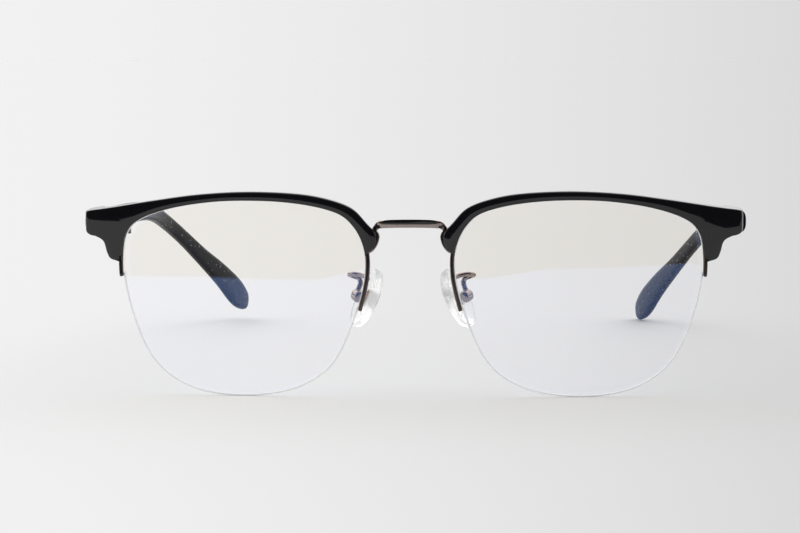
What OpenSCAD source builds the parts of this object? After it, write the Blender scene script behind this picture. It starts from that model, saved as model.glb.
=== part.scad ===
// Half rim eyeglasses standing open on a table.
// +Z is up, the glasses look along -Y and the wearer's left is +X. Lengths are in millimetres.
// Nodes ending in _l are on the wearer's left, and those ending in _r on the right.

/* [Lens] */
// Width of one lens
lens_w = 53; // [51:0.5:55]
// Height of one lens
lens_h = 42.6; // [41:0.2:44]
// Gap between the two lenses at its narrowest
bridge_w = 19; // [18:0.5:21]
// Thickness of a lens
lens_t = 2; // [1.8:0.1:2.4]
// Radius of the front surface of a lens
base_r = 130; // [120:5:150]
// Turn of each lens towards the side of the head, in degrees
wrap = 4.5; // [4:0.5:6]
// Lean of the front, top forward, in degrees
front_tilt = 3; // [2:0.5:4]

/* [Rim] */
// Width of the rim wire seen from the front
wire_w = 0.85; // [0.7:0.05:1]
// Depth of the rim wire past each lens surface
wire_lip = 0.15; // [0.1:0.05:0.25]
// Height at which the wire ends on the temple side
wire_end_z = 26; // [24:0.5:28]
// Thickness of the clear liner between wire and lens
liner_t = 0.15; // [0.1:0.05:0.25]
// Depth of the groove in the edge of a lens
groove_d = 0.5; // [0.4:0.05:0.6]
// Width of that groove
groove_w = 0.5; // [0.4:0.05:0.6]

/* [Brow] */
// Reach of a brow in front of the lens
brow_front = 1.7; // [1.4:0.1:2]
// Reach of a brow behind the front surface of the lens
brow_back = 2.1; // [1.8:0.1:2.4]
// Half width of the front at the brow ends
brow_end_x = 71.2; // [70:0.1:73]

/* [Bridge] */
// Height of the bridge bar
bar_h = 1.8; // [1.6:0.1:2.4]
// Depth of the bridge bar
bar_d = 1.9; // [1.6:0.1:2.2]
// Height of the middle of the bar above the lowest point of the lens
bar_z = 37.7; // [37:0.1:38.2]

/* [Hinge] */
// Radius of the hinge barrel
barrel_r = 1.25; // [1.15:0.05:1.35]
// Radius of the hinge screw
hinge_screw_r = 0.7; // [0.6:0.05:0.75]
// Running clearance between screw and barrel
run_gap = 0.03; // [0.02:0.01:0.05]
// Height of the whole barrel
barrel_h = 4.4; // [4:0.1:4.8]

/* [Temple] */
// Height of a temple at the hinge
temple_h = 4.9; // [4.6:0.1:5.2]
// Thickness of a temple at the hinge
temple_t = 3.7; // [3.4:0.1:3.9]
// Height of the ear paddle
ear_h = 7.6; // [6:0.2:8]
// Thickness of the ear end
ear_t = 2.4; // [2.2:0.1:2.9]
// How much higher the right ear end stands, so that only the left one meets the table
right_rise = 2.6; // [0:0.1:3]

/* [Nose pad] */
// Length of a nose pad
pad_l = 13.8; // [12:0.2:15]
// Width of a nose pad
pad_w = 7.4; // [6.4:0.2:8]
// Thickness of a nose pad
pad_t = 3; // [2.6:0.1:3.2]
// Turn of a pad about its length, in degrees
pad_splay = 33; // [28:1:38]
// Lean of a pad towards the bridge, in degrees
pad_lean = 24.5; // [20:0.5:28]
// Radius of the wire of a pad arm
arm_r = 0.42; // [0.38:0.02:0.46]

/* [Hidden] */

// Distance from the lens vertices back to the middle of the whole length
mid_y = 73.45;
// Clear gap between fitted pieces that are fixed together
fit_gap = 0.02;
round_fn = 48;
sphere_fn = 240;
lens_cx = (bridge_w + lens_w) / 2 - base_r * sin(wrap);
wire_in = liner_t;
wire_out = wire_in + wire_w;
groove_mid = lens_t / 2;
// How far the cord runs up inside each end of the wire
cord_lap = 1.2;

// Middle of the hinge barrel, and the plane where a temple butts against the front
hinge = [65.9, 11.8, 37.3];
butt_y = 11.5;
plate_t = 0.5;
knuckle_gap = 0.05;
mid_knuckle_h = 1.5;

// Colours
black = [0.05, 0.05, 0.06];
gunmetal = [0.22, 0.2, 0.2];
clear = [0.85, 0.9, 0.95, 0.4];
steel = [0.6, 0.6, 0.62];

// ---- Curves ----

// Point at t between p1 and p2 on a smooth curve through four points
function smooth(p0, p1, p2, p3, t) =
    0.5 * (2 * p1 + (p2 - p0) * t + (2 * p0 - 5 * p1 + 4 * p2 - p3) * t * t
        + (3 * p1 - p0 - 3 * p2 + p3) * t * t * t);

// Smooth closed curve through the points p, with n steps between neighbours
function closed_curve(p, n) =
    let (m = len(p))
    [for (i = [0:m - 1], k = [0:n - 1])
        smooth(p[(i + m - 1) % m], p[i], p[(i + 1) % m], p[(i + 2) % m], k / n)];

// Smooth open curve through the points p, with n steps between neighbours
function open_curve(p, n) =
    let (m = len(p), q = concat([2 * p[0] - p[1]], p, [2 * p[m - 1] - p[m - 2]]))
    concat([for (i = [1:m - 1], k = [0:n - 1]) smooth(q[i - 1], q[i], q[i + 1], q[i + 2], k / n)],
        [p[m - 1]]);

// The closed curve p, which runs anticlockwise, moved outwards by d
function outset(p, d) =
    let (m = len(p))
    [for (i = [0:m - 1])
        let (t = p[(i + 1) % m] - p[(i + m - 1) % m])
        p[i] + d * [t[1], -t[0]] / norm(t)];

// Points of an arc round c from angle a to angle b
function arc(c, r, a, b, n) = [for (i = [0:n]) c + r * [cos(a + (b - a) * i / n), sin(a + (b - a) * i / n)]];

// Rounded rectangle between two corners
function rounded_box(low, high, r) = concat(
    arc([high[0] - r, low[1] + r], r, -90, 0, 6), arc(high - [r, r], r, 0, 90, 6),
    arc([low[0] + r, high[1] - r], r, 90, 180, 6), arc(low + [r, r], r, 180, 270, 6));

// Solid through a list of rings that all have the same number of points
module skin(rings) {
    n = len(rings[0]);
    last = len(rings) - 1;
    sides = [for (i = [0:last - 1], k = [0:n - 1])
        let (a = i * n + k, b = i * n + (k + 1) % n)
        each [[a, a + n, b], [b, a + n, b + n]]];
    caps = [[for (k = [0:n - 1]) k], [for (k = [n - 1:-1:0]) last * n + k]];
    polyhedron(concat([for (r = rings) each r]), concat(sides, caps));
}

// Signed power, for the corners of a rounded section
function signed_pow(v, e) = sign(v) * pow(abs(v), e);

// Ring of n points round c: a rounded section of half sizes a along u and b along w
function ring(c, u, w, a, b, e, n) = [for (k = [0:n - 1])
    let (t = 360 * (k + 0.5) / n)
    c + u * a * signed_pow(cos(t), e) + w * b * signed_pow(sin(t), e)];

function unit(v) = v / norm(v);

// Direction of the path p at point i
function heading(p, i) = unit(p[min(i + 1, len(p) - 1)] - p[max(i - 1, 0)]);

// ---- Frames ----

// Places a shape of the wearer's left on the side s: 1 is left and -1 is right
module on_side(s) {
    if (s > 0)
        translate([0, -mid_y, 0]) children();
    else
        mirror([1, 0, 0]) translate([0, -mid_y, 0]) children();
}

// Leans a shape with the front, so that the lowest point of the lens meets the table
module on_front() {
    translate([0, 0, -lens_foot]) rotate([front_tilt, 0, 0]) children();
}

// A flat outline in X and Z, made solid between y = a and y = b
module upright(outline, a = -20, b = 40) {
    translate([0, b, 0]) rotate([90, 0, 0]) linear_extrude(b - a) polygon(outline);
}

// Part of a shape between two spheres that follow the lens: front is the reach in front of the
// lens's front surface, and back the reach behind it
module follow_lens(front, back) {
    difference() {
        intersection() {
            children();
            translate([lens_cx, base_r, lens_h / 2]) sphere(base_r + front, $fn = sphere_fn);
        }
        translate([lens_cx, base_r, lens_h / 2]) sphere(base_r - back, $fn = sphere_fn);
    }
}

// ---- Outlines, in fractions of the lens's width and height ----

function in_lens_box(p) = [for (q = p) [bridge_w / 2 + q[0] * lens_w, q[1] * lens_h]];

// Edge of the lens, anticlockwise from its lowest point
lens_edge = closed_curve(in_lens_box([[0.519, 0], [0.623, 0.008], [0.721, 0.036], [0.808, 0.091],
    [0.872, 0.164], [0.917, 0.254], [0.954, 0.37], [0.982, 0.49], [0.998, 0.606], [0.999, 0.716],
    [0.989, 0.803], [0.96, 0.864], [0.905, 0.908], [0.82, 0.946], [0.721, 0.974], [0.6, 0.994],
    [0.481, 1], [0.358, 0.996], [0.245, 0.98], [0.155, 0.955], [0.092, 0.922], [0.048, 0.868],
    [0.018, 0.8], [0.002, 0.715], [0.005, 0.605], [0.03, 0.469], [0.064, 0.345], [0.109, 0.222],
    [0.162, 0.136], [0.23, 0.075], [0.315, 0.031], [0.414, 0.007]]), 3);

// Height of the lowest point of the leaning lens above the line about which the front leans
lens_foot = min([for (p = lens_edge) p[1] * cos(front_tilt) + sin(front_tilt) * (base_r
    - sqrt(base_r * base_r - pow(p[0] - lens_cx, 2) - pow(p[1] - lens_h / 2, 2)))]);

// Brow: along the top from its outer end to the bridge, round its tip, then back inside the lens
brow_edge = closed_curve(concat([[brow_end_x - 0.9, 39.45]],
    in_lens_box([[1.046, 0.945], [0.863, 0.985], [0.672, 1.02], [0.475, 1.036], [0.283, 1.027],
    [0.156, 1], [0.06, 0.953], [0, 0.879], [-0.034, 0.833], [-0.042, 0.795], [-0.034, 0.764],
    [-0.013, 0.745], [0.009, 0.757], [0.057, 0.805], [0.159, 0.886], [0.387, 0.933], [0.671, 0.921],
    [0.86, 0.862], [0.944, 0.764], [0.973, 0.695], [1.008, 0.684], [1.04, 0.695], [1.056, 0.72],
    [1.07, 0.771], [1.108, 0.802]]),
    [[brow_end_x - 1.1, 34.5], [brow_end_x - 0.15, 35.3], [brow_end_x, 37.2],
    [brow_end_x - 0.15, 38.85]]), 3);

// Plan of the front's outer corner, which is round where the brow turns back
corner_r = 2.5;
corner_plan = concat([[0, -20], [66, -20], [66, 5]],
    arc([brow_end_x - corner_r, 6.7 + corner_r], corner_r, -90, 0, 8), [[brow_end_x, 30], [0, 30]]);

// Region that holds the wire: above its two ends, each cut square to the lens edge
wire_region = [[0, 15.35], [30, wire_end_z - 0.2], [75, wire_end_z], [75, 60], [0, 60]];
cord_region = [[0, 15.35 + cord_lap], [30, wire_end_z - 0.2 + cord_lap], [75, wire_end_z + cord_lap],
    [75, -10], [0, -10]];

// Wing of the bridge, the thin plate that edges the brow's tip
wing_edge = closed_curve([[10.4, 37.5], [8.4, 37.8], [7.3, 36.9], [6.9, 35], [7.3, 33], [8.05, 31.8],
    [9, 31.3], [9.7, 32], [10.2, 33.6], [11.3, 36]], 3);

// ---- Lenses, wires and cords ----

// Strip round the lens edge, from the offset a to the offset b
module edge_strip(a, b) {
    difference() {
        upright(outset(lens_edge, b));
        upright(outset(lens_edge, a), -21, 41);
    }
}

module groove(width, depth, out) {
    follow_lens(-groove_mid + width / 2, groove_mid + width / 2) edge_strip(-depth, out);
}

module lens(s) {
    color(clear) on_side(s) on_front() difference() {
        follow_lens(0, lens_t) upright(lens_edge);
        groove(groove_w, groove_d, 1);
    }
}

module rim_wire(s) {
    color(gunmetal) on_side(s) on_front() intersection() {
        follow_lens(wire_lip, lens_t + wire_lip) edge_strip(wire_in, wire_out);
        upright(wire_region, -22, 42);
    }
}

module rim_liner(s) {
    color(clear) on_side(s) on_front() intersection() {
        groove(groove_w - 2 * fit_gap, groove_d - fit_gap, wire_in - fit_gap);
        translate([0, 0, cord_lap + 0.3]) upright(wire_region, -22, 42);
    }
}

module nylon_cord(s) {
    color("white") on_side(s) on_front() intersection() {
        groove(groove_w - 2 * fit_gap, groove_d - fit_gap, -fit_gap);
        upright(cord_region, -22, 42);
    }
}

// ---- Brows and bridge ----

// Block behind a brow's outer end, up to the plate of the endpiece
block_low = [67.4, 34.9];
block_high = [brow_end_x - 0.1, 39.7];
end_screw = [66.35, 9.5, 37.3];
end_screw_r = 0.6;
end_screw_l = 3.4;
end_head_r = 0.95;

module brow(s) {
    color(black) on_side(s) difference() {
        union() {
            on_front() difference() {
                intersection() {
                    follow_lens(brow_front, brow_back) upright(brow_edge);
                    translate([0, 0, 20]) linear_extrude(30) polygon(corner_plan);
                }
                upright(outset(lens_edge, 0.1), -21, 41);
                intersection() {
                    union() {
                        upright(outset(lens_edge, wire_out + fit_gap));
                        upright(outset(wing_edge, fit_gap));
                    }
                    translate([lens_cx, base_r, lens_h / 2])
                        sphere(base_r + wire_lip + fit_gap, $fn = sphere_fn);
                }
            }
            upright(rounded_box(block_low, block_high, 1.1), 7.2, butt_y - plate_t - fit_gap);
        }
        translate(end_screw) rotate([0, 90, 0]) cylinder(h = end_screw_l, r = end_screw_r, $fn = round_fn);
        upright([[61, 34.9], [67.4, 34.9], [67.4, 39.1], [61, 39.1]], 8.2, 12);
    }
}

// The bar arches gently: its plan is a ring of this radius, and its front view rises by bar_rise
plan_r = 35;
bar_front = 0.8;
bar_rise = 0.5;

// Bar of half length a and half height b, pointed at its ends
function bar_edge(a, b) = let (z = function (x) bar_z - bar_rise * x * x / (a * a))
    concat([for (x = [-a:a / 6:a]) [x, z(x) - b * (1 - pow(abs(x) / a, 4) * 0.5)]],
        [for (x = [a:-a / 6:-a]) [x, z(x) + b * (1 - pow(abs(x) / a, 4) * 0.5)]]);

module in_bar_plan(front, back) {
    difference() {
        intersection() {
            children();
            translate([0, bar_front + plan_r, 20]) cylinder(h = 40, r = plan_r - front, $fn = sphere_fn);
        }
        translate([0, bar_front + plan_r, 19]) cylinder(h = 42, r = plan_r - back, $fn = sphere_fn);
    }
}

inlay_d = 0.5;
inlay_half = [6, 0.62];

module bridge() {
    color(gunmetal) translate([0, -mid_y, 0]) on_front() {
        difference() {
            in_bar_plan(0, bar_d) upright(bar_edge(7.5, bar_h / 2), -5, 15);
            in_bar_plan(-1, inlay_d) upright(bar_edge(inlay_half[0], inlay_half[1]), -5, 15);
        }
        for (m = [0, 1]) mirror([m, 0, 0]) follow_lens(wire_lip, lens_t - 0.6) difference() {
            upright(wing_edge);
            upright(outset(lens_edge, wire_out + fit_gap), -21, 41);
        }
    }
}

module bridge_inlay() {
    color(black) translate([0, -mid_y, 0]) on_front()
        in_bar_plan(0, inlay_d - fit_gap)
            upright(bar_edge(inlay_half[0] - fit_gap, inlay_half[1] - fit_gap), -5, 15);
}

// ---- Hinge ----

barrel_low = hinge[2] - barrel_h / 2;
mid_low = hinge[2] - mid_knuckle_h / 2;

// Upright rod of radius r on the hinge axis
module on_axis(z, h, r) {
    translate([hinge[0], hinge[1], z]) cylinder(h = h, r = r, $fn = round_fn);
}

// Plan of the endpiece: behind the rim wire, round the inside of the block and across its end
endpiece_plan = [[61.3, 6.4], [63.2, 6.95], [66.6, 8.3], [67.38, 9], [67.38, butt_y - plate_t],
    [71.4, butt_y - plate_t], [71.4, butt_y], [66.35, butt_y], [66.35, 9.3], [63, 7.9], [61.2, 7.3]];

module endpiece(s) {
    color(gunmetal) on_side(s) difference() {
        union() {
            translate([0, 0, barrel_low - 0.1]) linear_extrude(barrel_h - 0.5) polygon(endpiece_plan);
            translate([0, 0, barrel_low + barrel_h - 0.6])
                linear_extrude(0.6) polygon([[66.35, 9.4], [67.38, 9.4], [67.38, 11], [71.4, 11],
                    [71.4, butt_y], [66.35, butt_y]]);
            on_axis(barrel_low, barrel_h, barrel_r);
        }
        on_axis(mid_low - knuckle_gap, mid_knuckle_h + 2 * knuckle_gap, barrel_r + 0.15);
        on_axis(barrel_low - 1, barrel_h + 2, hinge_screw_r + run_gap);
        translate(end_screw - [1, 0, 0]) rotate([0, 90, 0])
            cylinder(h = 3, r = end_screw_r + fit_gap, $fn = round_fn);
        translate(end_screw - [2, 0, 0]) rotate([0, 90, 0])
            cylinder(h = 2, r = end_head_r + 2 * fit_gap, $fn = round_fn);
    }
}

module endpiece_screw(s) {
    color(steel) on_side(s) translate(end_screw) rotate([0, 90, 0]) difference() {
        union() {
            cylinder(h = end_screw_l, r = end_screw_r, $fn = round_fn);
            translate([0, 0, -0.5]) cylinder(h = 0.5, r = end_head_r, $fn = round_fn);
        }
        translate([-1, -0.12, -0.6]) cube([2, 0.24, 0.35]);
    }
}

screw_head_r = 1.15;
screw_head_h = 0.5;

module hinge_screw(s) {
    color(steel) on_side(s) difference() {
        union() {
            on_axis(barrel_low + 0.1, barrel_h - 0.1, hinge_screw_r);
            on_axis(barrel_low + barrel_h, screw_head_h, screw_head_r);
        }
        translate([hinge[0] - 2, hinge[1] - 0.15, barrel_low + barrel_h + 0.2]) cube([4, 0.3, 1]);
    }
}

// Leaf on the inside of a temple: its plate, its web and the middle knuckle
leaf_low = [67.7, 13.3, 35.5];
leaf_size = [1.1, 10.2, 3.6];
leaf_screw_y = [16.2, 20.8];
leaf_screw_r = 0.5;
leaf_screw_l = 1.9;
web_dir = unit([68.2, 14.1] - [hinge[0], hinge[1]]);
web_half = 0.6 * [-web_dir[1], web_dir[0]];
web_from = [hinge[0], hinge[1]] + 0.3 * web_dir;
web_to = [68.2, 14.1];

module temple_hinge(s) {
    color(gunmetal) on_side(s) difference() {
        union() {
            on_axis(mid_low, mid_knuckle_h, barrel_r);
            translate([0, 0, mid_low]) linear_extrude(mid_knuckle_h)
                polygon([web_from + web_half, web_from - web_half, web_to - web_half, web_to + web_half]);
            translate(leaf_low) cube(leaf_size);
        }
        on_axis(mid_low - 1, mid_knuckle_h + 2, hinge_screw_r + run_gap);
        for (y = leaf_screw_y) translate([leaf_low[0] - 1, y, hinge[2]]) rotate([0, 90, 0])
            cylinder(h = 4, r = leaf_screw_r + fit_gap, $fn = round_fn);
    }
}

module hinge_leaf_screws(s) {
    color(steel) on_side(s) for (y = leaf_screw_y) translate([leaf_low[0], y, hinge[2]]) rotate([0, 90, 0]) {
        cylinder(h = leaf_screw_l, r = leaf_screw_r, $fn = round_fn);
        translate([0, 0, -0.35]) cylinder(h = 0.35, r = 0.85, $fn = round_fn);
    }
}

// ---- Temples ----

// Middle line of the left temple: straight back from the hinge, then down and in behind the ear
left_line = open_curve([[70.35, butt_y + 0.2, 37.2], [70.6, 38, 35.9], [70.9, 66, 34],
    [70.7, 89, 31.5], [69.3, 102.5, 27.8], [66.4, 113, 22.8], [63, 123, 17], [59.4, 133, 11.1],
    [56.5, 141.3, 5.6], [54.9, 146.4, 2.7], [54.4, 148.5, 1.45]], 4);
rise_length = 100;
// The right temple climbs smoothly away from the left one's line
function rise(y) = let (t = min(1, max(0, (y - butt_y) / rise_length))) right_rise * t * t * (3 - 2 * t);
right_line = [for (p = left_line) p + [0, 0, rise(p[1])]];
// Height and thickness of a temple at the same points as its middle line
temple_size = open_curve([[temple_h, temple_t], [5, 3.3], [4.8, 2.9], [4.3, 2.5], [4, ear_t],
    [4, ear_t], [4.7, ear_t], [6.3, ear_t], [ear_h, ear_t], [5.6, ear_t - 0.3], [2.4, 1.3]], 4);

// Sideways direction at point i: level, and square to the middle line
function sideways(p, i) = unit(cross([0, 0, 1], heading(p, i)));
function upwards(p, i) = cross(heading(p, i), sideways(p, i));

module temple_solid(line) {
    skin([for (i = [0:len(line) - 1])
        ring(line[i], i == 0 ? [-1, 0, 0] : sideways(line, i), i == 0 ? [0, 0, 1] : upwards(line, i),
            temple_size[i][1] / 2, temple_size[i][0] / 2, 0.7, 20)]);
}

// The core wire starts at the butt face and stops short of the tip
core_last = len(left_line) - 8;

module core_solid(line, grow) {
    skin([for (i = [0:core_last])
        ring(line[i] - [0, i == 0 ? grow : 0, 0], sideways(line, i), upwards(line, i),
            0.5 + grow, 1.1 + grow, 0.6, 8)]);
}

module temple(s) {
    line = s > 0 ? left_line : right_line;
    color(black) on_side(s) difference() {
        temple_solid(line);
        core_solid(line, fit_gap);
        translate(leaf_low - [1, 0.6, 0.02]) cube(leaf_size + [1.02, 0.62, 0.04]);
        for (y = leaf_screw_y) translate([leaf_low[0], y, hinge[2]]) rotate([0, 90, 0])
            cylinder(h = leaf_screw_l, r = leaf_screw_r, $fn = round_fn);
    }
}

module temple_core(s) {
    color(steel) on_side(s) core_solid(s > 0 ? left_line : right_line, 0);
}

// ---- Nose pads ----

// Middle of the pad box, where the pad swivels on its screw
pad_pivot = [11.6, 8.6, 21];
pad_screw_rad = 0.38;
box_half = [0.95, 1.5, 1.35];

// Pad frame: x points at the nose, z up along the pad, and y back across it
module on_pad() {
    translate(pad_pivot) mirror([1, 0, 0]) rotate([0, pad_lean, 0]) rotate([0, 0, pad_splay]) children();
}

arm_line = open_curve([[9.15, 2.4, 25.3], [9.6, 4.4, 25.8], [11.1, 5.6, 26.15], [12.7, 6.5, 26.15],
    [13.4, 7.6, 25.8], [12.6, 8.6, 25.35], [11.5, 8.9, 24.8], [11.2, 8.8, 23.9], [11.4, 8.5, 23.1],
    [11.82, 8.08, 22.3]], 4);

function arm_side(i) = unit(cross([0.3, 0.2, 1], heading(arm_line, i)));

module pad_arm(s) {
    color(gunmetal) on_side(s) on_front() {
        intersection() {
            skin([for (i = [0:len(arm_line) - 1])
                ring(arm_line[i], arm_side(i), cross(heading(arm_line, i), arm_side(i)),
                    arm_r, arm_r, 1, 12)]);
            translate([lens_cx, base_r, lens_h / 2])
                sphere(base_r - lens_t - wire_lip - fit_gap, $fn = sphere_fn);
        }
        on_pad() difference() {
            translate([-1.35, -box_half[1], -box_half[2]]) cube(2 * box_half);
            translate([-0.95, -0.5, -1]) cube([3, 1, 2]);
            translate([0, 3, 0]) rotate([90, 0, 0])
                cylinder(h = 6, r = pad_screw_rad + fit_gap, $fn = round_fn);
        }
    }
}

module pad_screw(s) {
    color(steel) on_side(s) on_front() on_pad() rotate([90, 0, 0]) {
        translate([0, 0, -box_half[1]]) cylinder(h = 2 * box_half[1], r = pad_screw_rad, $fn = round_fn);
        translate([0, 0, -box_half[1] - 0.45]) cylinder(h = 0.45, r = 0.68, $fn = round_fn);
    }
}

// Middle of the pad in its own frame: distance from the pivot, and height above it
pad_mid = 2.6;
pad_rise = 0.3;

module insert_solid() {
    translate([-0.55, -0.4, -0.6]) cube([pad_mid, 0.8, 1.2]);
    translate([pad_mid - 0.7, -1.4, pad_rise - 2.4]) cube([0.5, 2.8, 4.8]);
}

module pad_insert(s) {
    color(gunmetal) on_side(s) on_front() on_pad() difference() {
        insert_solid();
        translate([0, 3, 0]) rotate([90, 0, 0]) cylinder(h = 6, r = pad_screw_rad + 0.04, $fn = round_fn);
    }
}

// Pad: an oval whose sections shrink to a rounded end at top and bottom
module pad_solid() {
    steps = 14;
    skin([for (i = [0:steps])
        let (a = -87 + 174 * i / steps, k = pow(cos(a), 0.8))
        ring([pad_mid - 0.5 * (1 - k), 0, pad_rise + pad_l / 2 * sin(a)], [1, 0, 0], [0, 1, 0],
            pad_t / 2 * k, pad_w / 2 * k * (1 - 0.1 * sin(a)), 0.85, 20)]);
}

module nose_pad(s) {
    color(clear) on_side(s) on_front() on_pad() difference() {
        pad_solid();
        insert_solid();
    }
}

bridge();
bridge_inlay();
rim_wire(-1);  // rim_wire_r
rim_wire(1);  // rim_wire_l
rim_liner(-1);  // rim_liner_r
rim_liner(1);  // rim_liner_l
brow(-1);  // brow_r
brow(1);  // brow_l
lens(-1);  // lens_r
lens(1);  // lens_l
nylon_cord(-1);  // nylon_cord_r
nylon_cord(1);  // nylon_cord_l
endpiece(-1);  // endpiece_r
endpiece(1);  // endpiece_l
endpiece_screw(-1);  // endpiece_screw_r
endpiece_screw(1);  // endpiece_screw_l
hinge_screw(-1);  // hinge_screw_r
hinge_screw(1);  // hinge_screw_l
temple_hinge(-1);  // temple_hinge_r
temple_hinge(1);  // temple_hinge_l
hinge_leaf_screws(-1);  // hinge_leaf_screws_r
hinge_leaf_screws(1);  // hinge_leaf_screws_l
temple(-1);  // temple_r
temple(1);  // temple_l
temple_core(-1);  // temple_core_r
temple_core(1);  // temple_core_l
pad_arm(-1);  // pad_arm_r
pad_arm(1);  // pad_arm_l
pad_screw(-1);  // pad_screw_r
pad_screw(1);  // pad_screw_l
pad_insert(-1);  // pad_insert_r
pad_insert(1);  // pad_insert_l
nose_pad(-1);  // nose_pad_r
nose_pad(1);  // nose_pad_l
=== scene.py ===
"""Half rim eyeglasses standing open on a pale table, in soft studio light.

Shapes are built as whole numpy arrays in millimetres, in the left half of the front:
x runs from the middle outwards, y back from the lens, and z up from the lens's lowest point.
to_front() leans them with the front, mirrors them for the right side and gives metres.
"""

import math
from functools import partial

import bpy
import numpy as np
from mathutils import Matrix, Vector


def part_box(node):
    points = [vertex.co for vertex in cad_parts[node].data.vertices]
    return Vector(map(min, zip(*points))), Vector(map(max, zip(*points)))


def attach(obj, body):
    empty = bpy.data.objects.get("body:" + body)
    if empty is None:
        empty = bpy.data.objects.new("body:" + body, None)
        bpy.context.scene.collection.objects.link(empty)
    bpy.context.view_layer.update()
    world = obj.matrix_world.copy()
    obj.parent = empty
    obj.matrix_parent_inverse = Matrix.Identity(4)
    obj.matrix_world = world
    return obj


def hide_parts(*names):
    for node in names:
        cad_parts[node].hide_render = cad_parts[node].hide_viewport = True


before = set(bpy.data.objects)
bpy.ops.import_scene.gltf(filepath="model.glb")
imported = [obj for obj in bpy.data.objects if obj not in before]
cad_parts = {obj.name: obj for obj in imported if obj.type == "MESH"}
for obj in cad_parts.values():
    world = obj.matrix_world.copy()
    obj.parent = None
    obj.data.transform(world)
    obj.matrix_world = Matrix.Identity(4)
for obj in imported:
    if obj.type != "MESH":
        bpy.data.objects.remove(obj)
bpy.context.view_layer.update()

MM = 0.001
SIDES = (("l", 1.0, "left"), ("r", -1.0, "right"))
LENS_W, LENS_H, BRIDGE_W, LENS_T = 53.0, 42.6, 19.0, 2.0
BASE_R, WRAP, TILT = 130.0, math.radians(4.5), math.radians(3.0)
LENS_CX = (BRIDGE_W + LENS_W) / 2 - BASE_R * math.sin(WRAP)
LENS_FOOT = 0.0915
# The foremost point of the lens box lies 1.282 mm in front of the lens's vertex
FRONT_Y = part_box("lens_l")[0].y / MM + 1.282
BROW_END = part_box("brow_l")[1].x / MM
BUTT_Y, PLATE_T = 11.5, 0.5
# Depth of a rim wire in front of and behind the lens's front surface
WIRE_FRONT, WIRE_BACK = 0.12, 1.7
WIRE_IN, WIRE_W = 0.15, 0.85


# ---- Curves and frames ----

def smooth_curve(points, n, closed=False):
    """Catmull-Rom curve: between p1 and p2 it is half of
    (2 p1 + (p2 - p0) t + (2 p0 - 5 p1 + 4 p2 - p3) t^2 + (3 p1 - p0 - 3 p2 + p3) t^3)."""
    p = np.asarray(points, float)
    if closed:
        q = np.vstack([p[-1], p, p[0], p[1]])
    else:
        q = np.vstack([2 * p[0] - p[1], p, 2 * p[-1] - p[-2]])
    p0, p1, p2, p3 = (q[i:len(q) - 3 + i][:, None, :] for i in range(4))
    t = (np.arange(n) / n)[None, :, None]
    c = 0.5 * (2 * p1 + (p2 - p0) * t + (2 * p0 - 5 * p1 + 4 * p2 - p3) * t**2
               + (3 * p1 - p0 - 3 * p2 + p3) * t**3)
    c = c.reshape(-1, p.shape[1])
    return c if closed else np.vstack([c, p[-1]])


def lengths(curve):
    """Distance along a curve at each of its points."""
    return np.r_[0, np.cumsum(np.linalg.norm(np.diff(curve, axis=0), axis=1))]


def along(curve, at):
    """Points of a curve at the distances at."""
    d = lengths(curve)
    return np.stack([np.interp(at, d, curve[:, k]) for k in range(curve.shape[1])], 1)


def unit(v):
    return v / np.linalg.norm(v, axis=-1, keepdims=True)


def step(a, b, v):
    """0 below a, 1 above b, and t^2 (3 - 2 t) between."""
    t = np.clip((v - a) / (b - a), 0, 1)
    return t * t * (3 - 2 * t)


def to_world(p, side):
    """Left-half millimetres to metres, mirrored for the right side."""
    return (np.asarray(p, float) + [0, FRONT_Y, 0]) * [side * MM, MM, MM]


def to_front(p, side):
    """The same for a piece of the front, which leans about the x axis, top forward."""
    p = np.asarray(p, float)
    c, s = math.cos(TILT), math.sin(TILT)
    leaned = np.stack([p[..., 0], p[..., 1] * c - p[..., 2] * s,
                       p[..., 1] * s + p[..., 2] * c - LENS_FOOT], -1)
    return to_world(leaned, side)


def lens_y(x, z, reach=0.0):
    """Depth of the sphere that follows the lens, reach in front of its front surface."""
    flat = (x - LENS_CX) ** 2 + (z - LENS_H / 2) ** 2
    return BASE_R - np.sqrt((BASE_R + reach) ** 2 - flat)


def on_lens(flat, reach=0.0):
    """Flat points (x, z) laid on that sphere."""
    return np.stack([flat[..., 0], lens_y(flat[..., 0], flat[..., 1], reach), flat[..., 1]], -1)


def in_lens_box(points):
    return np.asarray(points, float) * [LENS_W, LENS_H] + [BRIDGE_W / 2, 0]


def outset(curve, d):
    """A closed anticlockwise outline moved outwards by d along its normals."""
    t = unit(np.roll(curve, -1, 0) - np.roll(curve, 1, 0))
    return curve + d * np.stack([t[:, 1], -t[:, 0]], 1)


# ---- Meshes ----

def tube(rings):
    """Skin through rings (count, points, 3), closed at both ends by a pole."""
    u, m = rings.shape[:2]
    base = np.arange(u * m).reshape(u, m)
    turn = np.roll(base, -1, 1)
    quads = np.stack([base[:-1], turn[:-1], turn[1:], base[1:]], -1).reshape(-1, 4)
    poles = np.stack([rings[0].mean(0), rings[-1].mean(0)])
    first = np.stack([turn[0], base[0], np.full(m, u * m)], -1)
    last = np.stack([base[-1], turn[-1], np.full(m, u * m + 1)], -1)
    return np.vstack([rings.reshape(-1, 3), poles]), quads, np.vstack([first, last])


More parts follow.
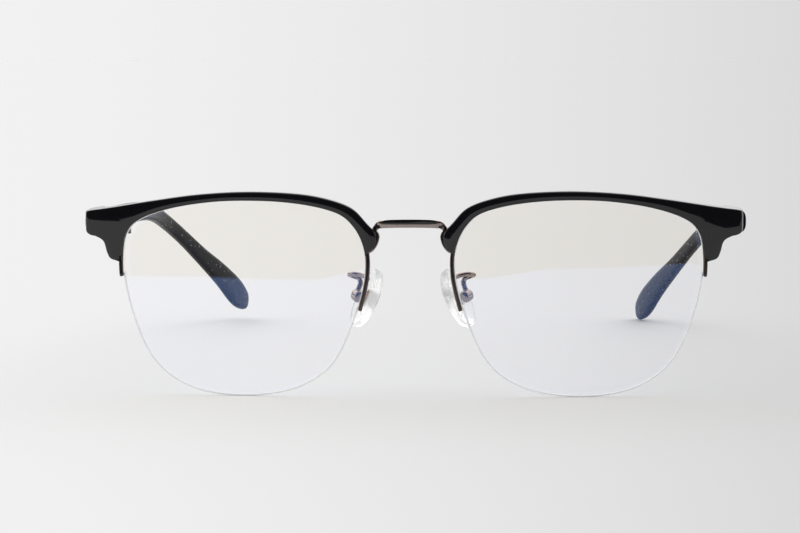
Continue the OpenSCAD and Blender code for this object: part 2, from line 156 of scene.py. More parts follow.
def make(name, body, material, shells, place, replaces=()):
    """One object from shells (points, quads, triangles). The sign of a shell's volume,
    the sum of a . (b x c) / 6 over its triangles, tells whether its faces need turning."""
    verts, faces, count = [], [], 0
    for points, quads, tris in shells:
        p = place(points)
        every = np.vstack([quads[:, :3], quads[:, [0, 2, 3]], tris])
        a, b, c = (p[every[:, k]] for k in range(3))
        turned = (a * np.cross(b, c)).sum() < 0
        for f in (quads, tris):
            faces += ((f[:, ::-1] if turned else f) + count).tolist()
        verts.append(p)
        count += len(p)
    mesh = bpy.data.meshes.new(name)
    mesh.from_pydata(np.vstack(verts).tolist(), [], faces)
    mesh.polygons.foreach_set("use_smooth", np.ones(len(faces), bool))
    mesh.materials.append(material)
    mesh.update()
    ob = bpy.data.objects.new(name, mesh)
    bpy.context.scene.collection.objects.link(ob)
    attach(ob, body)
    if replaces:
        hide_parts(*replaces)
    return ob


def sweep(path, sizes, across, power=0.7, points=28, count=120, end_r=(0.2, 0.2)):
    """Rounded section swept along a path. At angle t the section is at
    a |cos t|^power along across and b |sin t|^power square to it and to the path, each with the
    sign of its cosine or sine. Near an end of radius r both half sizes lose
    r (1 - sqrt(1 - (1 - d / r)^2)) at the distance d from the end, which rounds it."""
    path = np.asarray(path, float)
    total = lengths(path)[-1]
    arc = 1 - np.cos(np.linspace(0.12, math.pi / 2, 7))
    at = np.r_[arc * end_r[0], np.linspace(end_r[0], total - end_r[1], count)[1:-1],
               total - (arc * end_r[1])[::-1]]
    c = along(path, at)
    heading = unit(np.gradient(c, at, axis=0))
    u = np.asarray(across(c, heading), float)
    u = unit(u - heading * (u * heading).sum(1, keepdims=True))
    w = np.cross(heading, u)
    half = np.stack([np.interp(at / total, np.linspace(0, 1, len(sizes)), np.asarray(sizes)[:, k])
                     for k in range(2)], 1) if np.ndim(sizes) == 2 else np.tile(sizes, (len(at), 1))
    for r, d in ((end_r[0], at), (end_r[1], total - at)):
        half = half - (r * (1 - np.sqrt(1 - np.clip(1 - d / r, 0, 1) ** 2)))[:, None]
    half = np.maximum(half, 0.01)
    t = 2 * math.pi * (np.arange(points) + 0.5) / points
    cs, sn = (np.sign(f) * np.abs(f) ** power for f in (np.cos(t), np.sin(t)))
    return tube(c[:, None] + u[:, None] * (half[:, 0, None] * cs)[..., None]
                + w[:, None] * (half[:, 1, None] * sn)[..., None])


# ---- Materials ----

def linear(colour):
    """Linear colour of an sRGB hex string."""
    v = np.array([int(colour[i:i + 2], 16) for i in (1, 3, 5)]) / 255
    return (*np.where(v <= 0.04045, v / 12.92, ((v + 0.055) / 1.055) ** 2.4).tolist(), 1.0)


def add(tree, kind, inputs=(), out=0, **settings):
    """Adds a node and gives its output socket out. inputs pairs a socket's name or place with a
    value or with a socket to link."""
    node = tree.nodes.new(kind)
    for key, value in settings.items():
        setattr(node, key, value)
    for key, value in dict(inputs).items():
        if isinstance(value, bpy.types.NodeSocket):
            tree.links.new(value, node.inputs[key])
        else:
            node.inputs[key].default_value = value
    return node.outputs[out] if node.outputs else None


def material(name):
    m = bpy.data.materials.new(name)
    m.use_nodes = True
    m.node_tree.nodes.clear()
    return m, m.node_tree


def noise(tree, size, detail=2.0, stretch=(1.0, 1.0, 1.0)):
    """Noise whose lumps are size millimetres wide, stretched along each axis."""
    place = add(tree, "ShaderNodeTexCoord", out="Object")
    scaled = add(tree, "ShaderNodeMapping", {"Vector": place, "Scale": stretch})
    return add(tree, "ShaderNodeTexNoise",
               {"Vector": scaled, "Scale": 1 / (size * MM), "Detail": detail})


def mottle(tree, size, low, high):
    """A number that wanders from low to high in lumps size millimetres wide."""
    return add(tree, "ShaderNodeMapRange", {0: noise(tree, size), 1: 0.3, 2: 0.7, 3: low, 4: high})


def specks(tree, spacing, size, share):
    """1 on round specks size millimetres wide, in a share of cells spacing millimetres apart: the
    mask of the painted glints.
    """
    place = add(tree, "ShaderNodeTexCoord", out="Object")
    cell = {"Vector": place, "Scale": 1 / (spacing * MM)}
    distance = add(tree, "ShaderNodeTexVoronoi", cell, out="Distance")
    edge = size / 2 / spacing
    near = add(tree, "ShaderNodeMapRange", {0: distance, 1: edge, 2: 0.6 * edge, 3: 0.0, 4: 1.0})
    pick = add(tree, "ShaderNodeSeparateColor",
               {0: add(tree, "ShaderNodeTexVoronoi", cell, out="Color")})
    chosen = add(tree, "ShaderNodeMath", {0: pick, 1: share}, operation="LESS_THAN")
    return add(tree, "ShaderNodeMath", {0: near, 1: chosen}, operation="MULTIPLY")


def acetate(name, rough, glint_specks, wave, shine):
    """Black cellulose acetate: a deep black body with fine pale specks painted into its colour as
    glints of light. wave is the height of its waviness in millimetres."""
    m, t = material(name)
    body = add(t, "ShaderNodeMix", {0: noise(t, 3.0), 6: linear("#0b0b0e"), 7: linear("#131317")},
               out=2, data_type="RGBA")
    # Pale specks painted into the black colour stand in for glints of light
    glinted = add(t, "ShaderNodeMix", {0: specks(t, *glint_specks), 6: body, 7: linear("#e4e6ee")},
                 out=2, data_type="RGBA")
    waves = add(t, "ShaderNodeBump",
                {"Height": noise(t, 7.0, 1.0), "Distance": wave * MM, "Strength": 1.0})
    shader = add(t, "ShaderNodeBsdfPrincipled",
                 {"Base Color": glinted, "Roughness": mottle(t, 0.8, *rough),
                  "Specular IOR Level": shine, "Normal": waves})
    add(t, "ShaderNodeOutputMaterial", {0: shader})
    return m


def plating(name, low, high, rough, lines):
    """Plated or turned metal: a soft tone change, and fine drawn lines in the roughness and
    0.0015 mm deep in the surface."""
    m, t = material(name)
    drawn = noise(t, 0.25, 3.0, (1.0, 1.0, lines))
    tone = add(t, "ShaderNodeMix", {0: noise(t, 2.5), 6: linear(low), 7: linear(high)},
               out=2, data_type="RGBA")
    worn = add(t, "ShaderNodeMapRange", {0: drawn, 1: 0.3, 2: 0.7, 3: rough[0], 4: rough[1]})
    grooves = add(t, "ShaderNodeBump", {"Height": drawn, "Distance": 0.0015 * MM, "Strength": 1.0})
    shader = add(t, "ShaderNodeBsdfPrincipled",
                 {"Metallic": 1.0, "Base Color": tone, "Roughness": worn, "Normal": grooves})
    add(t, "ShaderNodeOutputMaterial", {0: shader})
    return m


# Polished by tumbling and buffing: mirror-like face with a faint waviness, and sparse pale specks
# painted in as glints
ACETATE_FRONT = acetate("polished black cellulose acetate", rough=(0.03, 0.07),
                        glint_specks=(1.4, 0.12, 0.12), wave=0.02, shine=0.5)
# Tumbled only: a satin sheen spreads along the bend, and more pale specks are painted in as glints
ACETATE_TEMPLE = acetate("satin tumbled black cellulose acetate", rough=(0.24, 0.34),
                         glint_specks=(0.8, 0.27, 0.32), wave=0.01, shine=0.12)
# Dark nickel plating over a drawn nickel silver wire: brown-black with pale reflections
GUNMETAL = plating("gunmetal plated nickel silver", "#4d4543", "#5d5350", (0.12, 0.22), 0.25)
# The same plating where it is buffed bright
GUNMETAL_BRIGHT = plating("buffed gunmetal plating", "#8d827e", "#a1958f", (0.10, 0.18), 0.25)
# Bare nickel silver, bright under the clear pad: warm pale grey
BUFFED = plating("stamped nickel silver", "#b3a89f", "#c4bab2", (0.14, 0.24), 1.0)
# Turned stainless steel: neutral grey with fine tool marks
STEEL = plating("turned stainless steel", "#8b8b8d", "#a2a2a3", (0.18, 0.30), 6.0)


def coated_lens():
    """Two layers of blue-cut coating: most light goes straight through, a little warmer, and
    each face adds a thin blue mirror image."""
    m, t = material("vacuum coated clear lens")
    through = add(t, "ShaderNodeBsdfTransparent", {0: (0.982, 0.970, 0.944, 1.0)})
    tint = add(t, "ShaderNodeMix", {0: noise(t, 14.0, 1.0), 6: (0.015, 0.028, 0.067, 1.0),
                                    7: (0.019, 0.033, 0.076, 1.0)}, out=2, data_type="RGBA")
    mirror = add(t, "ShaderNodeBsdfGlossy", {0: tint, "Roughness": 0.0})
    both = add(t, "ShaderNodeAddShader", {0: through, 1: mirror})
    add(t, "ShaderNodeOutputMaterial", {0: both})
    return m


def silicone():
    """Moulded clear silicone: soft inside reflections and a smooth, slightly greasy skin."""
    m, t = material("moulded clear silicone")
    clear = add(t, "ShaderNodeBsdfTransparent", {0: linear("#fdfdfd")})
    waves = add(t, "ShaderNodeBump",
                {"Height": noise(t, 1.8, 1.0), "Distance": 0.01 * MM, "Strength": 1.0})
    skin = add(t, "ShaderNodeBsdfPrincipled",
               {"Base Color": linear("#ffffff"), "Roughness": mottle(t, 1.2, 0.03, 0.08),
                "Transmission Weight": 1.0, "IOR": 1.41, "Normal": waves})
    both = add(t, "ShaderNodeMixShader", {0: 0.5, 1: clear, 2: skin})
    add(t, "ShaderNodeOutputMaterial", {0: both})
    return m


def nylon():
    """Drawn clear nylon: thin enough to look milky white against a pale ground, and given a faint
    painted glow by a white emission.
    """
    m, t = material("drawn clear nylon")
    milk = add(t, "ShaderNodeMix", {0: noise(t, 2.0), 6: linear("#f0f0ee"), 7: linear("#fafaf8")},
               out=2, data_type="RGBA")
    # The white emission is a painted glow: the nylon is no lamp
    shader = add(t, "ShaderNodeBsdfPrincipled",
                 {"Base Color": milk, "Roughness": mottle(t, 0.6, 0.12, 0.25), "IOR": 1.53,
                  "Emission Color": linear("#ffffff"), "Emission Strength": 0.06})
    add(t, "ShaderNodeOutputMaterial", {0: shader})
    return m


LENS, SILICONE, NYLON = coated_lens(), silicone(), nylon()


# ---- Outlines ----

# Edge of the lens, anticlockwise from its lowest point, in fractions of its width and height
LENS_EDGE = smooth_curve(in_lens_box([
    [0.519, 0], [0.623, 0.008], [0.721, 0.036], [0.808, 0.091], [0.872, 0.164], [0.917, 0.254],
    [0.954, 0.37], [0.982, 0.49], [0.998, 0.606], [0.999, 0.716], [0.989, 0.803], [0.96, 0.864],
    [0.905, 0.908], [0.82, 0.946], [0.721, 0.974], [0.6, 0.994], [0.481, 1], [0.358, 0.996],
    [0.245, 0.98], [0.155, 0.955], [0.092, 0.922], [0.048, 0.868], [0.018, 0.8], [0.002, 0.715],
    [0.005, 0.605], [0.03, 0.469], [0.064, 0.345], [0.109, 0.222], [0.162, 0.136], [0.23, 0.075],
    [0.315, 0.031], [0.414, 0.007]]), 12, closed=True)
LENS_MID = np.array([BRIDGE_W / 2 + LENS_W / 2, LENS_H / 2])

# Brow: its outside runs from the tip at the nose over the top and round the outer end to the
# foot of the tab, and its inside takes the short way between the same two points
BROW_OUT = np.vstack([
    in_lens_box([[-0.013, 0.745], [-0.034, 0.764], [-0.044, 0.797], [-0.040, 0.839],
                 [-0.008, 0.888], [0.052, 0.965], [0.151, 1.013], [0.28, 1.041], [0.475, 1.050],
                 [0.673, 1.034], [0.865, 0.998], [1.048, 0.956]]),
    [[BROW_END - 0.9, 39.85], [BROW_END - 0.15, 39.2], [BROW_END, 37.4],
     [BROW_END - 0.15, 35.3], [BROW_END - 1.1, 34.5]],
    in_lens_box([[1.115, 0.802], [1.084, 0.778], [1.07, 0.722], [1.055, 0.691],
                 [1.015, 0.678]])])
# Outside and inside points that face each other across the brow
BROW_PAIRS = in_lens_box([
    [[-0.042, 0.795], [0.01, 0.785]], [[0, 0.879], [0.035, 0.85]], [[0.156, 1], [0.19, 0.967]],
    [[0.475, 1.036], [0.47, 1]], [[0.863, 0.985], [0.8, 0.95]], [[1.046, 0.945], [0.91, 0.906]],
    [[1.16, 0.92], [0.95, 0.875]], [[1.16, 0.815], [0.982, 0.825]],
    [[1.07, 0.771], [0.995, 0.76]], [[1.056, 0.72], [1.0, 0.715]]])


def beyond_lens(x, z):
    """Distance outside the lens edge: (r / R - 1) R along the ray from the lens's middle, where
    R is the edge's radius at the same angle."""
    edge = LENS_EDGE - LENS_MID
    a = np.arctan2(edge[:, 1], edge[:, 0])
    order = np.argsort(a)
    d = np.stack([x, z], -1) - LENS_MID
    radius = np.interp(np.arctan2(d[..., 1], d[..., 0]), a[order],
                       np.linalg.norm(edge, axis=1)[order], period=2 * math.pi)
    return np.linalg.norm(d, axis=-1) - radius


# Height of the crown on each outer end: the two are buffed by hand and differ a little
BROW_CROWN = {"l": 37.2, "r": 39.1}


# How far a brow's face stands in front of the lens, its slope, and where the slope stops at the
# foot of the tab; then the turn at its outer end
BROW_PROUD, BROW_LEAN, BROW_LOW = 1.45, 0.1, 29.5
CORNER_R, CORNER_BACK = 2.5, 9.2


def brow_rings(crown):
    """Rings across the brow. Each is a rounded rectangle between the inside and outside curves:
    q across, from -a to a, and f through, from 0 at the back to 1 at the front. Its corners have
    the radius r. The front face stands BROW_PROUD in front of the lens's sphere, less a straight
    slope of BROW_LEAN that brings it upright, plus a crown of 0.06 (1 - (q / a)^2) per millimetre
    of half width and, at the outer end, a vertical crown of 0.013 (z - crown)^2 that runs on
    straight from 2 below its middle. The face turns back round the end on the radius CORNER_R."""
    outer = smooth_curve(BROW_OUT, 24)
    rim = edge_path(0.14, 0, 161.5, 20.5)[:, [0, 2]]
    inner = smooth_curve(np.vstack([BROW_OUT[0], rim[4:-4], BROW_OUT[-1]]), 2)
    do, di = lengths(outer), lengths(inner)
    near = lambda curve, d, p: d[np.argmin(((curve - p) ** 2).sum(1))]
    so = [0] + [near(outer, do, p[0]) for p in BROW_PAIRS] + [do[-1]]
    si = [0] + [near(inner, di, p[1]) for p in BROW_PAIRS] + [di[-1]]
    ease = 1 - np.cos(np.linspace(0.1, math.pi / 2, 12))
    at = np.r_[0.9 * ease, np.linspace(0.9, do[-1] - 0.9, 330)[1:-1], do[-1] - 0.9 * ease[::-1]]
    facing = np.convolve(np.pad(np.interp(at, so, si), 8, "edge"), np.ones(17) / 17, "valid")
    facing[:12], facing[-12:] = np.interp(at[:12], so, si), np.interp(at[-12:], so, si)
    o, i = along(outer, at), along(inner, facing)
    mid, across = (o + i) / 2, (o - i) / 2
    a = np.linalg.norm(across, axis=1)[:, None]
    # Around the ring: front from inside to outside, outer corners, back, inner corners
    line, turn = np.linspace(-1, 1, 21)[1:-1], np.linspace(0, math.pi / 2, 7)
    bq = np.r_[line, np.ones(14), line[::-1], -np.ones(14)]
    cq = np.r_[0 * line, np.sin(turn), np.cos(turn), 0 * line, -np.sin(turn), -np.cos(turn)]
    bf = np.r_[np.ones(19), np.ones(7), -np.ones(7), -np.ones(19), -np.ones(7), np.ones(7)]
    cf = np.r_[np.ones(19), np.cos(turn), -np.sin(turn), -np.ones(19), -np.cos(turn), np.sin(turn)]
    r = np.minimum(0.5, 0.75 * a)
    q = bq * (a - r) + r * cq
    depth = 1.9 - 0.5 * (1 - np.minimum(a / 1.6, 1))
    d = bf * (depth - r) + r * cf
    f = (d + depth) / (2 * depth)
    # Along the top the outside draws in by 0.4 towards the back, so its roof slopes away
    q = q - 0.4 * (1 - f) * np.maximum(bq, 0) * (1 - step(58.0, 66.0, mid[:, :1]))
    flat = mid[:, None] + unit(across)[:, None] * q[..., None]
    x, z = flat[..., 0], flat[..., 1]
    high = np.maximum(z, BROW_LOW)
    rise = np.maximum(high - crown, -2.0)
    front = (lens_y(x, z, BROW_PROUD) - BROW_LEAN * (high - 40.0)
             - 0.06 * np.minimum(a, 1.6) * (1 - bq**2)
             + 0.013 * (2 * rise * (high - crown) - rise**2) * step(52.0, 66.0, x))
    bend = np.clip(x - (BROW_END - CORNER_R), 0, CORNER_R * 0.995)
    corner = CORNER_BACK - np.sqrt(CORNER_R**2 - bend**2)
    front = np.where(bend > 0, np.maximum(front, corner), front)
    gap = beyond_lens(x, z)
    back = lens_y(x, z, 0.16 - 2.2 * step(WIRE_IN + WIRE_W + 0.03, WIRE_IN + WIRE_W + 0.35, gap))
    butt = (BUTT_Y - PLATE_T - 0.03 + z * math.sin(TILT)) / math.cos(TILT)
    back = back + (butt - back) * step(66.9, 67.6, x) * step(34.3, 35.1, z)
    y = back + (front - back) * f
    return np.stack([x, y, z], -1)


# Bridge wing: the thin plate that edges the brow's tip
WING = smooth_curve([[10.2, 36.6], [8.5, 36.7], [7.2, 36.2], [6.5, 34.9], [6.85, 33.2], [7.7, 31.9],
                     [8.7, 31.3], [9.5, 32], [10.1, 33.6], [10.8, 35.6]], 8, closed=True)


def plate(outline, front, back, edge=0.18):
    """Flat plate on the lens's sphere: rings shrink from the outline to its middle, and the
    corner between face and side has the radius edge."""
    mid = outline.mean(0)
    turn = np.linspace(0, math.pi / 2, 5)
    inset = np.r_[edge * (1 - np.sin(turn)), edge * (1 - np.cos(turn))]
    reach = np.r_[front - edge * (1 - np.cos(turn)), back + edge * (1 - np.sin(turn))]
    inner = outset(outline, -edge) - mid
    rings = [on_lens(mid + inner * k, front) for k in (0.05, 0.5, 0.9)]
    rings += [on_lens(outset(outline, -n), h) for n, h in zip(inset, reach)]
    rings += [on_lens(mid + inner * k, back) for k in (0.9, 0.5, 0.05)]
    return tube(np.stack(rings))


def fixed(*direction):
    """The same sideways direction all along a path."""
    return lambda c, heading: np.tile(direction, (len(c), 1))


def level(c, heading):
    """Sideways and level, square to the path."""
    return np.cross([0.0, 0.0, 1.0], heading)


def from_lens_mid(c, heading):
    """Outwards from the middle of the lens, in its plane."""
    return np.cross(heading, [0.0, 1.0, 0.0])


def edge_path(offset, reach, start, end):
    """Part of the lens edge moved outwards by offset, from the angle start to end seen from the
    middle of the lens, in degrees, laid on the lens's sphere."""
    curve = outset(LENS_EDGE, offset)
    d = curve - LENS_MID
    a = np.unwrap(np.arctan2(d[:, 1], d[:, 0]))
    a, curve = np.r_[a, a + 2 * math.pi], np.vstack([curve, curve])
    t = np.radians(np.linspace(start, end, 500))
    flat = np.stack([np.interp(t, a, curve[:, k]) for k in range(2)], 1)
    return on_lens(flat, reach)


def angle_at(x, z):
    return math.degrees(math.atan2(z - LENS_MID[1], x - LENS_MID[0]))


# ---- Lenses, rims and brows ----

# The rim wire ends below the brow: on the temple side and, lower, on the nose side. The cord
# goes on from there round the bottom
WIRE_START = angle_at(62.2, 25.5)
WIRE_END = 360 + angle_at(11.2, 18.9)
CORD_R = 0.24


def lens_shell():
    """Front and back spheres from the middle to the edge, with a fine bevel at each corner."""
    scales = np.linspace(0.02, 1, 26)[:-1]
    inner = outset(LENS_EDGE, -1.0) - LENS_MID
    rings = [on_lens(LENS_MID + inner * k, 0) for k in scales]
    rings += [on_lens(outset(LENS_EDGE, -d), 0) for d in (1.0, 0.4, 0.12)]
    rings += [on_lens(LENS_EDGE, -0.12), on_lens(LENS_EDGE, -0.2), on_lens(LENS_EDGE, 0.2 - LENS_T),
              on_lens(LENS_EDGE, 0.12 - LENS_T)]
    rings += [on_lens(outset(LENS_EDGE, -d), -LENS_T) for d in (0.12, 0.4, 1.0)]
    rings += [on_lens(LENS_MID + inner * k, -LENS_T) for k in scales[::-1]]
    return tube(np.stack(rings))


for tag, side, word in SIDES:
    front = partial(to_front, side=side)
    make(f"lens_{tag}_coated", "front", LENS, [lens_shell()], front,
         (f"lens_{tag}",))
    mid_depth = -(WIRE_BACK - WIRE_FRONT) / 2
    wire = edge_path(WIRE_IN + WIRE_W / 2, mid_depth, WIRE_START, WIRE_END)
    make(f"rim_wire_{tag}_drawn", "front", GUNMETAL,
         [sweep(wire, (WIRE_W / 2, (WIRE_BACK + WIRE_FRONT) / 2), from_lens_mid, 0.5, 28, 260,
                (0.3, 0.3))], front, (f"rim_wire_{tag}",))
    liner = edge_path(0.02, -LENS_T / 2, WIRE_START + 2, WIRE_END - 2)
    make(f"rim_liner_{tag}_clear", "front", NYLON,
         [sweep(liner, (0.12, 0.7), from_lens_mid, 0.6, 12, 220, (0.05, 0.05))], front,
         (f"rim_liner_{tag}",))
    cord = edge_path(-CORD_R / 2, -LENS_T / 2, WIRE_END - 2.5, WIRE_START + 362.5)
    make(f"nylon_cord_{tag}_round", "front", NYLON,
         [sweep(cord, (CORD_R, CORD_R), from_lens_mid, 1.0, 12, 260, (0.1, 0.1))], front,
         (f"nylon_cord_{tag}",))
    make(f"brow_{tag}_polished", "front", ACETATE_FRONT,
         [tube(brow_rings(BROW_CROWN[tag]))], front, (f"brow_{tag}",))


# ---- Bridge ----

def bridge_shells():
    """Bar that arches up and bows forward, y = 1.75 + x^2 / 70 at its middle line, with a leg at
    each end that drops to the wing plate behind the brow's tip."""
    half = [[0, 37.72], [2.4, 37.7], [4.6, 37.62], [5.9, 37.52], [6.6, 37.3], [7.4, 36.5],
            [8.3, 35.3]]
    flat = smooth_curve([[-x, z] for x, z in half[:0:-1]] + half, 12)
    y = 1.78 + flat[:, 0] ** 2 / 70 + 0.35 * step(6.4, 8.0, np.abs(flat[:, 0]))
    path = np.stack([flat[:, 0], y, flat[:, 1]], 1)
    at = np.abs(along(path, np.linspace(0, lengths(path)[-1], 61))[:, 0])
    sizes = np.stack([0.9 - 0.3 * step(6.0, 7.4, at), 1.0 - 0.42 * step(5.9, 7.0, at)], 1)
    bar = sweep(path, sizes[:, ::-1], fixed(0.0, -1.0, 0.0), 0.55, 36, 240, (0.3, 0.3))
    wing = plate(WING, WIRE_FRONT, -1.4)
    mirrored = (wing[0] * [-1, 1, 1], wing[1], wing[2])
    return [bar, wing, mirrored]


def inlay_shell():
    """Glossy strip let into the upper two thirds of the bar's front, with pointed ends."""
    x = np.linspace(-5.95, 5.95, 60)
    path = np.stack([x, 0.96 + x**2 / 70, 38.05 - 0.2 * (x / 6.4) ** 2], 1)
    taper = np.sqrt(np.clip(1 - (np.abs(x) / 6.15) ** 8, 0, 1))
    return sweep(path, np.stack([0.2 + 0 * x, 0.62 * taper], 1), fixed(0.0, -1.0, 0.0), 0.6, 28,
                 120, (0.15, 0.15))


centre = partial(to_front, side=1.0)
make("bridge_buffed", "front", GUNMETAL_BRIGHT, bridge_shells(), centre, ("bridge",))
make("bridge_inlay_glossy", "front", ACETATE_FRONT, [inlay_shell()], centre,
     ("bridge_inlay",))


# ---- Temples ----

TEMPLE_LINE = [[70.35, BUTT_Y + 0.2, 37.2], [70.6, 38, 35.9], [70.9, 66, 34], [70.7, 89, 31.5],
               [69.3, 102.5, 27.8], [66.4, 113, 22.8], [63, 123, 17], [59.4, 133, 11.1],
               [56.5, 141.3, 5.6], [54.9, 146.4, 2.7], [54.4, 148.5, 1.45]]
TEMPLE_SIZE = [[4.9, 3.7], [5, 3.3], [4.8, 2.9], [4.3, 2.5], [4, 2.4], [4, 2.4], [4.7, 2.4],
               [6.3, 2.4], [7.6, 2.4], [5.6, 2.1], [2.4, 1.3]]
RIGHT_RISE, RISE_LENGTH = 2.6, 100.0

for tag, side, word in SIDES:
    path = smooth_curve(TEMPLE_LINE, 16)
    size = smooth_curve(TEMPLE_SIZE, 16) / 2
    if side < 0:
        path[:, 2] += RIGHT_RISE * step(BUTT_Y, BUTT_Y + RISE_LENGTH, path[:, 1])
    even = np.linspace(0, lengths(path)[-1], 400)
    sizes = np.stack([np.interp(even, lengths(path), size[:, k]) for k in (1, 0)], 1)
    make(f"temple_{tag}_tumbled", f"temple_{word}", ACETATE_TEMPLE,
         [sweep(path, sizes, level, 0.7, 44, 360, (0.35, 0.6))],
         partial(to_world, side=side), (f"temple_{tag}",))


# ---- Nose pads ----

PAD_PIVOT = np.array([11.6, 8.6, 21.0])
PAD_LEAN, PAD_SPLAY = math.radians(24.5), math.radians(33.0)
PAD_MID, PAD_RISE, PAD_L, PAD_W, PAD_T = 2.35, 0.2, 13.6, 7.4, 2.8
ARM_LINE = [[9.15, 3.1, 25.3], [9.6, 4.4, 25.8], [11.1, 5.6, 26.15], [12.7, 6.5, 26.15],
            [13.4, 7.6, 25.8], [12.6, 8.6, 25.35], [11.5, 8.9, 24.8], [11.2, 8.8, 23.9],
            [11.4, 8.5, 23.1], [11.82, 8.08, 22.1]]


def from_pad(p):
    """Pad frame to the front: x points at the nose, z up along the pad and y back across it."""
    cs, ss = math.cos(PAD_SPLAY), math.sin(PAD_SPLAY)
    cl, sl = math.cos(PAD_LEAN), math.sin(PAD_LEAN)
    x, y, z = p[..., 0] * cs - p[..., 1] * ss, p[..., 0] * ss + p[..., 1] * cs, p[..., 2]
    return np.stack([-(x * cl + z * sl), y, z * cl - x * sl], -1) + PAD_PIVOT


def pad_shell():
    """Soft oval: at angle a along it the section is k = cos(a)^0.8 of its full size and slides
    back by 0.5 (1 - k); it is a little wider at the bottom, by 1 - 0.1 sin(a)."""
    a = np.linspace(-math.pi / 2 + 0.02, math.pi / 2 - 0.02, 56)[:, None]
    t = 2 * math.pi * np.arange(52) / 52
    k = np.cos(a) ** 0.8
    cs, sn = (np.sign(f) * np.abs(f) ** 0.85 for f in (np.cos(t), np.sin(t)))
    x = PAD_MID - 0.5 * (1 - k) + PAD_T / 2 * k * cs
    y = PAD_W / 2 * k * (1 - 0.1 * np.sin(a)) * sn
    z = PAD_RISE + PAD_L / 2 * np.sin(a) + 0 * x
    return tube(from_pad(np.stack([x, y, z], -1)))


def arm_shells():
    """Round wire bent into a loop, and the rounded cup that holds the pad's stem."""
    wire = sweep(smooth_curve(ARM_LINE, 12), (0.56, 0.56),
                 lambda c, h: np.cross([0.3, 0.2, 1.0], h), 1.0, 20, 160, (0.45, 0.45))
    cup = sweep([[-0.42, -1.5, 0], [-0.42, 1.5, 0]], (1.0, 1.4),
                fixed(1.0, 0.0, 0.0), 0.9, 32, 24, (0.85, 0.85))
    return [wire, (from_pad(cup[0]), cup[1], cup[2])]


def insert_shells():
    """Stamped plate inside the pad, and the flat stem that reaches back into the cup."""
    across = fixed(0.0, 1.0, 0.0)
    shells = [sweep([[2.1, 0, PAD_RISE - 1.9], [2.1, 0, PAD_RISE + 1.9]], (0.75, 0.24), across,
                    0.6, 20, 30, (0.2, 0.2)),
              sweep([[-0.5, 0, 0], [2.0, 0, 0]], (0.38, 0.5), across, 0.5, 20, 20, (0.1, 0.1))]
    return [(from_pad(p), q, t) for p, q, t in shells]


for tag, side, word in SIDES:
    front = partial(to_front, side=side)
    make(f"pad_insert_{tag}_stamped", f"nose_pad_{word}", BUFFED, insert_shells(),
         front, (f"pad_insert_{tag}",))
    make(f"nose_pad_{tag}_moulded", f"nose_pad_{word}", SILICONE, [pad_shell()], front,
         (f"nose_pad_{tag}",))
    make(f"pad_arm_{tag}_bent", "front", GUNMETAL_BRIGHT, arm_shells(), front,
         (f"pad_arm_{tag}",))


# ---- Small hardware keeps its exact shape ----

HARDWARE = {"endpiece": GUNMETAL, "temple_hinge": GUNMETAL,
            "endpiece_screw": STEEL, "hinge_screw": STEEL, "hinge_leaf_screws": STEEL,
            "temple_core": STEEL, "pad_screw": STEEL}
for name, finish in HARDWARE.items():
    for tag, *_ in SIDES:
        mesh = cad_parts[f"{name}_{tag}"].data
        mesh.materials.clear()
        mesh.materials.append(finish)


# ---- Table, light and camera ----

EYE = (29.0 * MM, (FRONT_Y - 494.4) * MM)
# The paper ends in front of the glasses on this line, in millimetres from the lenses; past it
# polished faces mirror a dark room
PAPER_EDGE = ((-15000, -150), (-196, -150), (-136, -188), (-20, -188), (45, -292), (263, -292),
              (199, -139), (15000, -139))
REACH = 15.0
# Tone of the paper, and brightness of the backdrop where it meets the table
TABLE_TONE, BACKDROP = 0.775, 0.885
# Distance from the eye at which the table enters the view
NEAREST = 0.34
# Direction, cosines at which a lamp starts and is full, and strength: a broad soft box above and
# behind, a narrower one at each side, and a dim wall behind
LAMPS = (((0.0, 0.45, 0.893), 0.45, 0.8, 1.55), ((-0.97, 0.1, 0.22), 0.80, 0.95, 1.3),
         ((0.97, 0.1, 0.22), 0.86, 0.97, 1.1), ((0.0, 0.98, 0.2), 0.2, 0.9, 0.75))
DARK_ROOM = 0.03


def side_fall(tree, x, y):
    """Brightness falls to the right by 0.2 t^1.4, where t runs from 0 to 1 as x / y runs over
    the camera's view."""
    ratio = add(tree, "ShaderNodeMath", {0: x, 1: y}, operation="DIVIDE")
    t = add(tree, "ShaderNodeMapRange", {0: ratio, 1: -0.234, 2: 0.109, 3: 0.0, 4: 1.0})
    t = add(tree, "ShaderNodeMath", {0: t, 1: 1.4}, operation="POWER")
    return add(tree, "ShaderNodeMath", {0: t, 1: -0.2, 2: 1.0}, operation="MULTIPLY_ADD")


def table_material():
    """Matt white paper: plain, with the light falling off to the right. Nearer than NEAREST the
    distance counts up again, as |y - NEAREST| + NEAREST, so the tone changes slowly there too."""
    m, t = material("matt white paper sheet")
    place = add(t, "ShaderNodeTexCoord", out="Object")
    x, y = (add(t, "ShaderNodeMath", {0: add(t, "ShaderNodeSeparateXYZ", {0: place}, out=k),
                                      1: EYE[k]}, operation="SUBTRACT") for k in (0, 1))
    y = add(t, "ShaderNodeMath", {0: y, 1: NEAREST}, operation="SUBTRACT")
    y = add(t, "ShaderNodeMath", {0: y}, operation="ABSOLUTE")
    y = add(t, "ShaderNodeMath", {0: y, 1: NEAREST}, operation="ADD")
    tone = add(t, "ShaderNodeMath", {0: side_fall(t, x, y), 1: TABLE_TONE}, operation="MULTIPLY")
    grain = mottle(t, 1.5, 0.995, 1.0)
    tone = add(t, "ShaderNodeMath", {0: tone, 1: grain}, operation="MULTIPLY")
    shade = add(t, "ShaderNodeCombineColor", {0: tone, 1: tone, 2: tone})
    add(t, "ShaderNodeOutputMaterial", {0: add(t, "ShaderNodeBsdfDiffuse", {0: shade})})
    return m


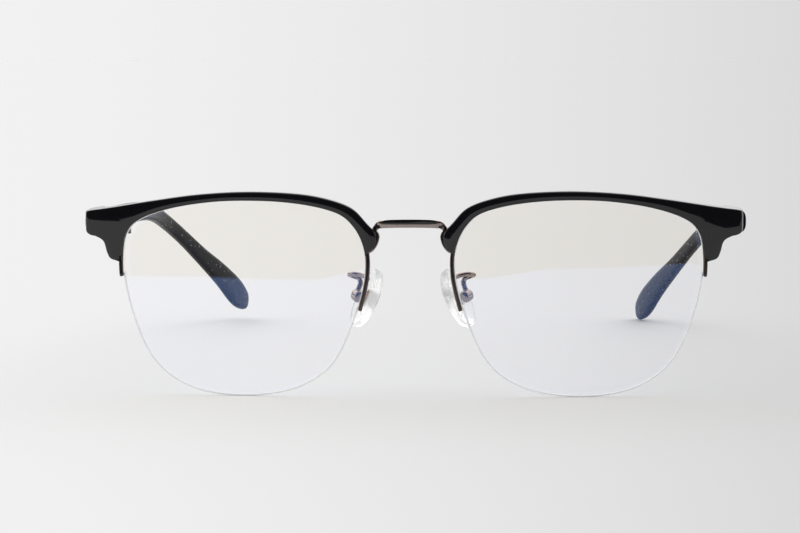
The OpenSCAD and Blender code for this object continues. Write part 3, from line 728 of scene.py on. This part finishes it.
def table_piece(name, corners, finish):
    mesh = bpy.data.meshes.new(name)
    mesh.from_pydata([(x, y, 0.0) for x, y in corners], [], [tuple(range(len(corners)))])
    mesh.materials.append(finish)
    ob = bpy.data.objects.new(name, mesh)
    bpy.context.scene.collection.objects.link(ob)
    return ob


paper = table_material()
edge = [(x * MM, (y + FRONT_Y) * MM) for x, y in PAPER_EDGE]
table_piece("table", edge + [(REACH, REACH), (-REACH, REACH)], paper)
foreground = table_piece("table_foreground", [(-REACH, -REACH), (REACH, -REACH)] + edge[::-1],
                         paper)
# The foreground is left out of reflections
foreground.visible_glossy = False


def studio_world():
    """Light by direction, from the lamps and a dark room in front. The camera itself sees the
    plain pale backdrop."""
    world = bpy.data.worlds.new("soft studio")
    bpy.context.scene.world = world
    world.use_nodes = True
    t = world.node_tree
    t.nodes.clear()
    way = add(t, "ShaderNodeTexCoord", out="Generated")
    total = DARK_ROOM
    for direction, start, full, strength in LAMPS:
        toward = add(t, "ShaderNodeVectorMath", {0: way, 1: direction}, out="Value",
                     operation="DOT_PRODUCT")
        lamp = add(t, "ShaderNodeMapRange", {0: toward, 1: start, 2: full, 3: 0.0, 4: strength},
                   interpolation_type="SMOOTHSTEP")
        total = add(t, "ShaderNodeMath", {0: total, 1: lamp}, operation="ADD")
    x, y = (add(t, "ShaderNodeSeparateXYZ", {0: way}, out=k) for k in (0, 1))
    y = add(t, "ShaderNodeMath", {0: y, 1: 0.3}, operation="MAXIMUM")
    tone = add(t, "ShaderNodeMath", {0: side_fall(t, x, y), 1: BACKDROP}, operation="MULTIPLY")
    # Matt surfaces get half of their light evenly from all round, which softens the shadows
    soft = add(t, "ShaderNodeMath", {0: total, 1: 0.45, 2: 0.45}, operation="MULTIPLY_ADD")
    matt = add(t, "ShaderNodeLightPath", out="Is Diffuse Ray")
    value = add(t, "ShaderNodeMix", {0: matt, 2: total, 3: soft}, data_type="FLOAT")
    seen = add(t, "ShaderNodeLightPath", out="Is Camera Ray")
    value = add(t, "ShaderNodeMix", {0: seen, 2: value, 3: tone}, data_type="FLOAT")
    lit = add(t, "ShaderNodeBackground", {0: (1.0, 1.0, 1.0, 1.0), "Strength": value})
    add(t, "ShaderNodeOutputWorld", {0: lit})


studio_world()

AZIMUTH, ELEVATION, ROLL = math.radians(3.58), math.radians(5.36), math.radians(-0.3)
DISTANCE = 497.5
target = Vector((-2.1, FRONT_Y, 28.43)) * MM
back = Vector((math.sin(AZIMUTH) * math.cos(ELEVATION), -math.cos(AZIMUTH) * math.cos(ELEVATION),
               math.sin(ELEVATION)))
camera_data = bpy.data.cameras.new("camera")
camera_data.lens = 104.85
camera_data.sensor_width = 36.0
camera_data.clip_start, camera_data.clip_end = 0.01, 60.0
camera = bpy.data.objects.new("camera", camera_data)
bpy.context.scene.collection.objects.link(camera)
camera.rotation_mode = "QUATERNION"
camera.location = target + back * DISTANCE * MM
facing = (-back).to_track_quat("-Z", "Y")
camera.rotation_quaternion = facing @ Matrix.Rotation(ROLL, 3, "Z").to_quaternion()
bpy.context.scene.camera = camera
bpy.context.scene.view_settings.view_transform = "Standard"
